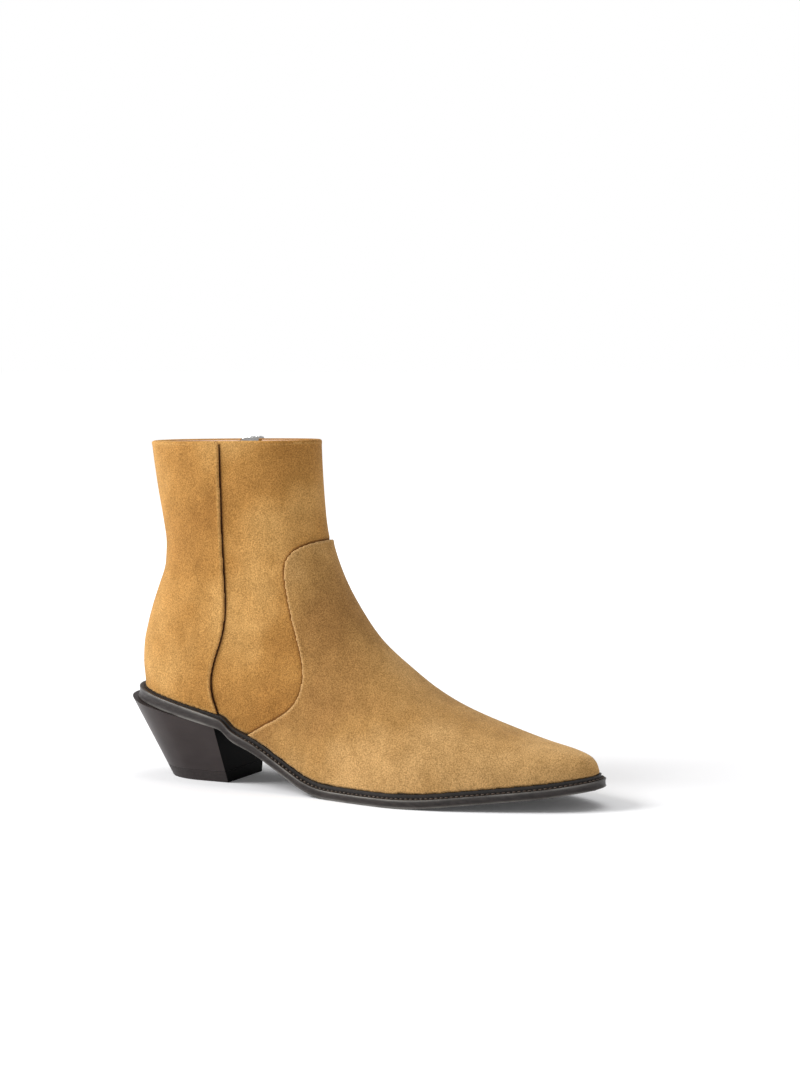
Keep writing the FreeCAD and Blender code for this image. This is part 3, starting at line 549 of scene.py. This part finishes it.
sole_shape = merged_copy("outsole")
lower_edge, upper_edge = wall_loops(sole_shape, WALL_LEAN)
ledge = [vertex.co.copy() for vertex in in_order(upper_edge)]
ledge_ways = away_from_loop(ledge)
ledge_run = [spot - way * LEDGE_IN + Vector((0, 0, STITCH_LIFT)) for spot, way in zip(ledge, ledge_ways)]
start = min(range(len(ledge_run)), key=lambda index: ledge_run[index].x)
ledge_run = ledge_run[start:] + ledge_run[:start]
welt_places = []
for spot, way in evenly(ledge_run, WELT_PITCH):
    if spot.x > WAIST_X:
        out = Vector((way.y, -way.x, 0)).normalized()
        normal = out.cross(way) if out.cross(way).z > 0 else way.cross(out)
        welt_places.append((spot, (way + out * STITCH_CANT).normalized(), normal))
add_stitches("welt_stitches", welt_places, wax, WELT_STITCH)

# ------------------------------------------------------------------ outsole
# Oak-bark leather, its edge trimmed to a shallow hollow and inked black-brown, with both lips paler,
# partly as rubbed wear and partly as a painted highlight. Over the heel the edge is a rand: it stands
# higher and flares towards the heel. The profile's rows are how far out and how high a point of the
# edge lies, in mm, and how much rubbed wear and painted highlight it gets.
EDGE_PROFILE = ((-0.32, 0.08, 0.3), (0.0, 0.36, 1.0), (-0.05, 0.62, 0.6), (-0.28, 1.2, 0.05),
                (-0.38, 2.2, 0.0), (-0.34, 3.2, 0.05), (-0.10, 3.85, 0.5), (-0.04, 4.10, 1.0),
                (-0.28, 4.36, 0.5), (-0.8, 4.43, 0.0), (-3.1, 4.44, 0.0))
LIP_IN = 0.8 * MM
SHELF_IN = 3.2 * MM
SOLE_THICK = 4.4
RAND_RISE = 0.40
RAND_FLARE = 0.7
RAND_REACH = (-30 * MM, -100 * MM)
FLARE_REACH = (-75 * MM, -115 * MM)
WORN_INK_AND_HIGHLIGHT = (0.25, 0.24, 0.22)

edge_ink, tree, shader = new_material("inked_sole_edge", 0.42)
shader.inputs["Specular IOR Level"].default_value = 0.35
wear = speckle(tree, 260, 6, (1, 1, 3))
ink = ramp(tree, wear, [(0.35, (0.014, 0.010, 0.009)), (0.7, (0.036, 0.028, 0.026))])
# The lips' paler colour is partly rubbed wear and partly a painted highlight.
lip_wear_and_highlight = add_node(tree, "ShaderNodeAttribute", attribute_name="lip_wear_and_highlight")
patchy = add_node(tree, "ShaderNodeMath", operation="MULTIPLY")
tree.links.new(lip_wear_and_highlight.outputs["Fac"], patchy.inputs[0])
patches = ramp(tree, speckle(tree, 55, 5), [(0.36, (0.25, 0.25, 0.25)), (0.62, (0.85, 0.85, 0.85))])
tree.links.new(patches, patchy.inputs[1])
tree.links.new(blend_colours(tree, patchy.outputs[0], ink, WORN_INK_AND_HIGHLIGHT), shader.inputs["Base Color"])
tree.links.new(bump(tree, wear, 0.0002, 0.3), shader.inputs["Normal"])


def eased(value, reach):
    """How far a value has gone from the first end of a reach to the second, eased at both ends."""
    share = min(max((value - reach[0]) / (reach[1] - reach[0]), 0), 1)
    return share * share * (3 - 2 * share)


# Per vertex: how much rubbed wear and painted highlight the edge gets there.
lip_wear_and_highlight_layer = sole_shape.verts.layers.float.new("lip_wear_and_highlight")
low_verts = in_order(lower_edge)
low_spots = [vertex.co.copy() for vertex in low_verts]
low_ways = away_from_loop(low_spots)
for vertex, way in zip(low_verts, low_ways):
    vertex.co -= way * LIP_IN
for vertex, way in zip(in_order(upper_edge), ledge_ways):
    vertex.co -= way * SHELF_IN
ring_edges = lower_edge
for outward, height, share in EDGE_PROFILE:
    grown = bmesh.ops.extrude_edge_only(sole_shape, edges=ring_edges)["geom"]
    fresh = {item for item in grown if isinstance(item, bmesh.types.BMVert)}
    ring_edges = [item for item in grown if isinstance(item, bmesh.types.BMEdge)]
    for index, vertex in enumerate(low_verts):
        vertex = next(edge.other_vert(vertex) for edge in vertex.link_edges
                      if edge.other_vert(vertex) in fresh)
        low_verts[index] = vertex
        spot = low_spots[index]
        flare = RAND_FLARE * eased(spot.x, FLARE_REACH) * (1 - height / SOLE_THICK)
        level = height * (1 + RAND_RISE * eased(spot.x, RAND_REACH)) * MM
        vertex.co = spot + low_ways[index] * (outward + flare) * MM + Vector((0, 0, level))
        vertex[lip_wear_and_highlight_layer] = share
bmesh.ops.bridge_loops(sole_shape, edges=ring_edges + upper_edge)
bmesh.ops.recalc_face_normals(sole_shape, faces=sole_shape.faces)
sole_piece = add_piece("leather_outsole", sole_shape, edge_ink, crease=50)
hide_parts("outsole")

# ------------------------------------------------------------------ heel block and top lift
# The stacked heel is shaped to a tapering D and lacquered dark brown-black; a rubber top lift of
# the same outline is pinned under it. The breast, which faces forward, is inked near black, which
# also stands as painted shade there.
HEEL_BEVEL = 0.30 * MM
LIFT_BEVEL = 0.20 * MM
FLAT_WITHIN = math.radians(0.4)
CRISP_ANGLE = 35
BREAST_FACING = 0.7


def bevelled(name, node_name, width, material, segments=3):
    """A frame piece's shape with its crisp edges rounded."""
    shape = merged_copy(node_name)
    bmesh.ops.dissolve_limit(shape, angle_limit=FLAT_WITHIN, verts=shape.verts, edges=shape.edges)
    piece = add_piece(name, shape, material, crease=CRISP_ANGLE)
    rounding = piece.modifiers.new("rounding", "BEVEL")
    rounding.width = width
    rounding.segments = segments
    rounding.limit_method = "ANGLE"
    rounding.angle_limit = math.radians(CRISP_ANGLE)
    rounding.harden_normals = True
    apply_modifiers(piece)
    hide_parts(node_name)
    return piece


def darken_breast_as_ink_and_shade(piece):
    """The faces that look forward get the black ink, also standing as painted shade, as the piece's second
    material.
    """
    piece.data.materials.append(breast_ink_and_shade)
    for face in piece.data.polygons:
        if face.normal.x > BREAST_FACING:
            face.material_index = 1


# Near black: the breast's ink, and painted shade on the breast.
breast_ink_and_shade = grained("black_breast_ink_and_painted_shade", 0.45, (60, 4, (1, 1, 2)),
                     [(0.3, (0.0025, 0.0025, 0.0025)), (0.7, (0.0035, 0.0035, 0.0035))], (0.0001, 0.1),
                     gloss=0.02)
lacquer = grained("dark_heel_lacquer", 0.40, (60, 4, (1, 1, 2)),
                  [(0.3, (0.026, 0.018, 0.017)), (0.7, (0.036, 0.026, 0.025))], (0.0001, 0.1), gloss=0.28)
rubber = grained("heel_lift_rubber", 0.55, (800, 3),
                 [(0.3, (0.020, 0.015, 0.014)), (0.7, (0.034, 0.025, 0.024))], (0.0001, 0.4), gloss=0.28)
darken_breast_as_ink_and_shade(bevelled("lacquered_heel", "heel_block", HEEL_BEVEL, lacquer))
darken_breast_as_ink_and_shade(bevelled("rubber_top_lift", "top_lift", LIFT_BEVEL, rubber))

# ------------------------------------------------------------------ shaft linings and padded sock
# The lining hangs a little loose inside the shaft, so it shows shallow folds; the sock is a
# cushion of thin foam under the same leather, crowned along the middle of the foot.
FOLDS_AROUND = 38
FOLDS_UPRIGHT = 14
FOLD_DEPTH = 0.35 * MM
LONG_EDGE = 3.0 * MM
SOCK_VOXEL = 0.9 * MM
SOCK_CROWN = 0.6 * MM
SOCK_SCALE = 22.0
SOCK_FACING = 0.3


def loose_lining(name, node_name):
    """A thin lining shell, both faces moved together by shallow upright folds."""
    shape = merged_copy(node_name)
    for _ in range(2):
        long_edges = [edge for edge in shape.edges if edge.calc_length() > LONG_EDGE]
        bmesh.ops.subdivide_edges(shape, edges=long_edges, cuts=1, use_grid_fill=False)
        bmesh.ops.triangulate(shape, faces=[face for face in shape.faces if len(face.verts) > 3])
    for vertex in shape.verts:
        x, y, z = vertex.co
        away = Vector((x - SHAFT_MIDDLE.x, y - SHAFT_MIDDLE.y, 0)).normalized()
        spot = Vector((x * FOLDS_AROUND, y * FOLDS_AROUND, z * FOLDS_UPRIGHT))
        vertex.co -= away * FOLD_DEPTH * (0.5 + 0.5 * noise.noise(spot))
    piece = add_piece(name, shape, lining_leather, crease=50)
    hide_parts(node_name)


for side_name in LINING_NODES:
    loose_lining("loose_" + side_name, side_name)
sock = add_piece("padded_sock", merged_copy("sock_liner"), lining_leather)
even_skin(sock, SOCK_VOXEL, 3)
upper_side = [vertex for vertex in sock.data.vertices if vertex.normal.z > SOCK_FACING]
for vertex in upper_side:
    vertex.co.z += SOCK_CROWN * (0.5 + 0.5 * noise.noise(vertex.co * SOCK_SCALE))
sock.data.polygons.foreach_set("use_smooth", [True] * len(sock.data.polygons))
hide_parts("sock_liner")

# ------------------------------------------------------------------ zip tapes, teeth and stops
# A metal zip set into the inner side: woven tapes and two rows of cast teeth between end stops.
# Each tooth has a rounded head that meets the other row, and is clasped on the tape's edge.
tape_cloth = woven("zip_tape_cloth", (0.20, 0.11, 0.04), (0.46, 0.28, 0.12), 0.0007)
for name in ("zip_tape_front", "zip_tape_rear"):
    paint(name, tape_cloth)
polished = grained("polished_zip_metal", 0.20, (500, 5),
                   [(0.3, (0.60, 0.60, 0.60)), (0.7, (0.82, 0.81, 0.79))], (0.00003, 0.3), metallic=1.0)
TOOTH_BEVEL = 0.32 * MM
for name, node_name in (("front_teeth", "zip_teeth_front"), ("rear_teeth", "zip_teeth_rear"),
                        ("top_stops", "zip_top_stops"), ("bottom_stop", "zip_bottom_stop")):
    bevelled(name, node_name, TOOTH_BEVEL, polished, segments=2)

# ------------------------------------------------------------------ zip slider
# Two cast plates joined by a wedge that parts the teeth, with flanges along both sides; a low
# arch on the outer plate holds the pull.
slide_joint = next(joint for joint in frame["joints"] if joint["name"] == "zip_slide")
swing_joint = next(joint for joint in frame["joints"] if joint["name"] == "pull_swing")
ACROSS = Vector(swing_joint["axis"]).normalized()
DOWN = Vector(slide_joint["axis"]).normalized()
OUT = ACROSS.cross(DOWN).normalized()
HINGE = Vector(swing_joint["pos_m"])
HINGE_ALONG = 4.6
HINGE_OUT = 2.7
zip_origin = HINGE - DOWN * HINGE_ALONG * MM - OUT * HINGE_OUT * MM
ZIP_TURN = Matrix((ACROSS, DOWN, OUT)).transposed().to_4x4()
ON_ZIP = Matrix.Translation(zip_origin) @ ZIP_TURN @ Matrix.Scale(MM, 4)
HALF_PLATE = ((3.0, -1.6), (4.6, -1.2), (5.3, 0.4), (5.4, 2.6), (5.3, 5.4), (4.7, 8.4), (4.0, 11.0),
              (3.2, 11.8))
OUTER_PLATE = (0.4, 1.5)
INNER_PLATE = (-6.4, -5.3)
WEDGE = ((0.48, -1.4), (0.48, 2.2))
WEDGE_SUNK = 0.3
FLANGE = (0.7, 6.4, 0.7)
FLANGE_ASIDE = 4.95
FLANGE_ALONG = 3.2
FLANGE_SUNK = 0.1
SLIDER_BEVEL = 0.28
BEVEL_STEPS = 3
ARCH_RADIUS = 3.5
ARCH_FOOT = 1.3
ARCH_SECTION = (1.2, 0.45)
ARCH_FLATTEN = 0.86
ARCH_STEPS = 14
ARCH_CLEAR = 0.05


def flat_outline(shape, half_points, height):
    """A face from half an outline, mirrored across the zip, at a height."""
    points = list(half_points) + [(-x, y) for x, y in reversed(half_points)]
    return shape.faces.new([shape.verts.new((x, y, height)) for x, y in points])


def raise_face(shape, face, height):
    """The face pushed up to make a solid plate."""
    grown = bmesh.ops.extrude_face_region(shape, geom=[face])["geom"]
    top = next(item for item in grown if isinstance(item, bmesh.types.BMFace))
    bmesh.ops.translate(shape, verts=top.verts, vec=(0, 0, height))


def round_edges(shape, edges, width):
    """Edges of a shape rounded."""
    bmesh.ops.bevel(shape, geom=edges, offset=width, offset_type="OFFSET", segments=BEVEL_STEPS,
                    profile=0.5, affect="EDGES", material=-1, clamp_overlap=True)


def crisp_edges(shape, sharpest=40):
    """The edges where a shape turns by more than an angle."""
    bmesh.ops.recalc_face_normals(shape, faces=shape.faces)
    return [edge for edge in shape.edges if edge.calc_face_angle(0) > math.radians(sharpest)]


slider_shape = bmesh.new()
for outline, (low, high) in ((HALF_PLATE, OUTER_PLATE), (HALF_PLATE, INNER_PLATE),
                             (WEDGE, (INNER_PLATE[1] - WEDGE_SUNK, OUTER_PLATE[0] + WEDGE_SUNK))):
    raise_face(slider_shape, flat_outline(slider_shape, outline, low), high - low)
for side in (-1, 1):
    level = OUTER_PLATE[0] - FLANGE[2] / 2 + FLANGE_SUNK
    place = Matrix.Translation((side * FLANGE_ASIDE, FLANGE_ALONG, level))
    bmesh.ops.create_cube(slider_shape, size=1.0, matrix=place @ Matrix.Diagonal((*FLANGE, 1)))
round_edges(slider_shape, crisp_edges(slider_shape), SLIDER_BEVEL)
arch_foot = Matrix.Translation((0, HINGE_ALONG - ARCH_RADIUS, ARCH_FOOT))
foot_ring = bmesh.ops.create_circle(slider_shape, cap_ends=True, radius=1.0, segments=10,
                                    matrix=arch_foot @ Matrix.Diagonal((*ARCH_SECTION, 1, 1)))["verts"]
foot_face = [face for face in slider_shape.faces if set(face.verts) == set(foot_ring)]
foot_edges = list({edge for vertex in foot_ring for edge in vertex.link_edges})
bmesh.ops.spin(slider_shape, geom=foot_face + foot_ring + foot_edges, cent=(0, HINGE_ALONG, ARCH_FOOT),
               axis=(1, 0, 0), angle=-math.pi, steps=ARCH_STEPS, use_merge=False)
arch_verts = [vertex for vertex in slider_shape.verts if vertex.co.z > OUTER_PLATE[1] + ARCH_CLEAR]
bmesh.ops.scale(slider_shape, vec=(1, 1, ARCH_FLATTEN), verts=arch_verts,
                space=Matrix.Translation((0, 0, -ARCH_FOOT)))
bmesh.ops.transform(slider_shape, matrix=ON_ZIP, verts=slider_shape.verts)
bmesh.ops.recalc_face_normals(slider_shape, faces=slider_shape.faces)
slider_piece = add_piece("cast_slider", slider_shape, polished, "slider", crease=40)
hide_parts("zip_slider")

# ------------------------------------------------------------------ zip pull
# A long tapered bar of polished metal with a raised panel along its face, which hangs straight
# down from the slider's arch by a fork with a round cross pin.
HANG = (Vector((0, 0, -1)) + ACROSS * ACROSS.z).normalized()
FACE_OUT = ACROSS.cross(HANG).normalized()
PULL_TURN = Matrix((ACROSS, HANG, FACE_OUT)).transposed().to_4x4()
ON_PULL = Matrix.Translation(HINGE) @ PULL_TURN @ Matrix.Scale(MM, 4)
PULL_SHAPE = ((1.7, 5.3), (1.7, -0.8), (3.3, -0.8), (3.3, 6.0), (3.0, 7.6), (2.3, 10.6), (2.25, 14.0),
              (2.4, 24.0), (2.7, 36.0), (2.6, 39.3), (1.9, 40.6), (1.0, 41.0))
PULL_THICK = 1.4
PULL_BEVEL = 0.3
PANEL_ALONG = 25.5
PANEL_SUNK = 0.02
PANEL_SIZE = (2.6, 24.0, 0.5)
PANEL_BEVEL = 0.22
PIN_RADIUS = 0.6
PIN_LENGTH = 6.2

pull_shape = bmesh.new()
raise_face(pull_shape, flat_outline(pull_shape, PULL_SHAPE, -PULL_THICK / 2), PULL_THICK)
round_edges(pull_shape, crisp_edges(pull_shape), PULL_BEVEL)
panel_place = Matrix.Translation((0, PANEL_ALONG, PULL_THICK / 2 - PANEL_SUNK))
panel = bmesh.ops.create_cube(pull_shape, size=1.0,
                              matrix=panel_place @ Matrix.Diagonal((*PANEL_SIZE, 1)))["verts"]
round_edges(pull_shape, list({edge for vertex in panel for edge in vertex.link_edges}), PANEL_BEVEL)
bmesh.ops.create_cone(pull_shape, cap_ends=True, segments=16, radius1=PIN_RADIUS, radius2=PIN_RADIUS,
                      depth=PIN_LENGTH, matrix=Matrix.Rotation(math.pi / 2, 4, "Y"))
bmesh.ops.transform(pull_shape, matrix=ON_PULL, verts=pull_shape.verts)
bmesh.ops.recalc_face_normals(pull_shape, faces=pull_shape.faces)
pull_piece = add_piece("long_pull", pull_shape, polished, "pull", crease=40)
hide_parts("zip_pull")

# ------------------------------------------------------------------ studio
# A white floor that glows a little with distance, so that it fades into the white surround, a
# soft key light from the left and a wide light above.
FLOOR_HALF = 40.0
FLOOR_FADE = (0.25, 1.6)
FLOOR_GLOW = (0.05, 0.62)
SURROUND_LIGHT = 0.42
SURROUND_SEEN = 1.0
floor_shape = bmesh.new()
bmesh.ops.create_grid(floor_shape, x_segments=1, y_segments=1, size=FLOOR_HALF)
floor_mesh = bpy.data.meshes.new("studio_floor")
floor_shape.to_mesh(floor_mesh)
floor_shape.free()
studio_floor = bpy.data.objects.new("studio_floor", floor_mesh)
bpy.context.scene.collection.objects.link(studio_floor)
paper, tree, shader = new_material("white_paper", 0.9)
shader.inputs["Base Color"].default_value = (0.92, 0.92, 0.93, 1.0)
shader.inputs["Emission Color"].default_value = (1, 1, 1, 1)
floor_place = add_node(tree, "ShaderNodeTexCoord")
floor_reach = add_node(tree, "ShaderNodeVectorMath", operation="LENGTH")
tree.links.new(floor_place.outputs["Object"], floor_reach.inputs[0])
glow = remap(tree, floor_reach.outputs["Value"], FLOOR_FADE, FLOOR_GLOW)
tree.links.new(glow, shader.inputs["Emission Strength"])
floor_mesh.materials.append(paper)


def soft_light(name, place, aim, width, power):
    """A square area light aimed at a point."""
    lamp = bpy.data.lights.new(name, "AREA")
    lamp.size = width
    lamp.energy = power
    holder = bpy.data.objects.new(name, lamp)
    holder.location = place
    holder.rotation_euler = (Vector(aim) - Vector(place)).to_track_quat("-Z", "Y").to_euler()
    bpy.context.scene.collection.objects.link(holder)


soft_light("key_light", (-1.5, -0.8, 1.35), (0, 0, 0.08), 0.9, 46)
soft_light("top_light", (0.1, 0.5, 1.9), (0, 0, 0.05), 1.6, 14)
world = bpy.data.worlds.new("surround")
world.use_nodes = True
sky = world.node_tree.nodes["Background"]
sky.inputs["Color"].default_value = (1, 1, 1, 1)
seen = add_node(world.node_tree, "ShaderNodeLightPath")
glare = remap(world.node_tree, seen.outputs["Is Camera Ray"], (0.0, 1.0),
              (SURROUND_LIGHT, SURROUND_SEEN), "LINEAR")
world.node_tree.links.new(glare, sky.inputs["Strength"])
bpy.context.scene.world = world
bpy.context.scene.view_settings.view_transform = "Standard"

# ------------------------------------------------------------------ camera
# A long lens from the front of the outer side, a little above the ground.
CAMERA_PLACE = (0.51589, -1.0632, 0.2233)
CAMERA_AZIMUTH = math.radians(-24.845)
CAMERA_TILT = math.radians(4.327)
CAMERA_LENS = 76.86
level_ahead = Vector((math.sin(CAMERA_AZIMUTH), math.cos(CAMERA_AZIMUTH), 0))
ahead = level_ahead * math.cos(CAMERA_TILT) - Vector((0, 0, math.sin(CAMERA_TILT)))
beside = Vector((level_ahead.y, -level_ahead.x, 0))
camera = bpy.data.cameras.new("camera")
camera.lens = CAMERA_LENS
camera_turn = Matrix((beside, beside.cross(ahead), -ahead)).transposed().to_4x4()
camera_holder = bpy.data.objects.new("camera", camera)
camera_holder.matrix_world = Matrix.Translation(CAMERA_PLACE) @ camera_turn
bpy.context.scene.collection.objects.link(camera_holder)
bpy.context.scene.camera = camera_holder
